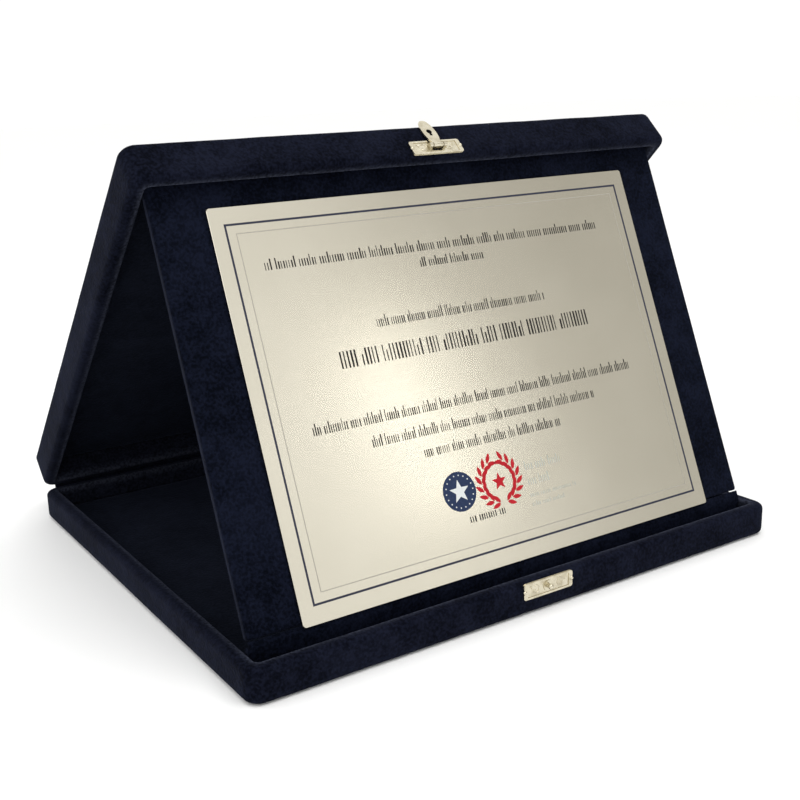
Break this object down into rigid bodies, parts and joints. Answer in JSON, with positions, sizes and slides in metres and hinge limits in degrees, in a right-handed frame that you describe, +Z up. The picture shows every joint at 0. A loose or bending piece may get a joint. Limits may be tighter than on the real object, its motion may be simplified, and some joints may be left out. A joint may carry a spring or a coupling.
{
  "type": "presentation case with award plate",
  "caption": "Hinged velvet presentation case standing open as a tent, its leaning display panel carrying a brushed metal award plate, with a stamped swing clasp.",
  "frame": {"origin": "middle of the base tray's underside, on the surface that the case stands on", "axes": "+Z up; the display panel and the clasp face -Y; +X to the right as seen from the front"},
  "size_m": [0.254, 0.2308, 0.1809],
  "materials": {
    "case_velvet": "navy cotton velvet, short pile",
    "lining_velvet": "navy velvet over card or thin foam",
    "hinge_cloth": "navy velvet glued along the hinge line",
    "tray_board": "raw fibreboard",
    "clasp_metal": "pale gilt plating on thin stamped sheet",
    "plate_steel": "fine brushing along its length and a warm tint",
    "adhesive_tape": "double sided foam tape"
  },
  "bodies": {
    "base": {"base_board": "tray_board", "base_front_rail": "tray_board", "base_rear_rail": "tray_board", "base_left_rail": "tray_board", "base_right_rail": "tray_board", "base_velvet_band": "case_velvet", "base_underside_velvet": "case_velvet", "base_lining_pad": "lining_velvet", "riser_strip": "tray_board", "riser_velvet": "case_velvet", "panel_hinge_cloth": "hinge_cloth", "rear_hinge_cloth": "hinge_cloth", "catch_plate": "clasp_metal", "catch_knob": "clasp_metal", "catch_nails": "clasp_metal"},
    "lid": {"lid_board": "tray_board", "lid_front_rail": "tray_board", "lid_rear_rail": "tray_board", "lid_left_rail": "tray_board", "lid_right_rail": "tray_board", "lid_velvet_band": "case_velvet", "lid_top_velvet": "case_velvet", "lid_lining_pad": "lining_velvet", "clasp_plate": "clasp_metal", "clasp_pin": "clasp_metal", "clasp_nails": "clasp_metal"},
    "tongue": {"clasp_tongue": "clasp_metal"},
    "panel": {"panel_board": "tray_board", "panel_velvet": "case_velvet", "panel_back_sheet": "lining_velvet", "plaque_tape": "adhesive_tape", "plaque_plate": "plate_steel"}
  },
  "joints": [
    {"name": "lid_hinge", "type": "hinge", "parent": "base", "child": "lid", "pos_m": [0, 0.1085, 0.0134], "axis": [-1, 0, 0], "range_deg": [0, 90]},
    {"name": "panel_hinge", "type": "hinge", "parent": "base", "child": "panel", "pos_m": [0, -0.0969, 0.0152], "axis": [-1, 0, 0], "range_deg": [0, 70]},
    {"name": "tongue_pivot", "type": "hinge", "parent": "lid", "child": "tongue", "pos_m": [0, -0.04239, 0.17196], "axis": [1, 0, 0], "range_deg": [0, 186]}
  ],
  "couplings": [
    {"joint": "panel_hinge", "follows": "lid_hinge", "ratio": 0.7778}
  ]
}
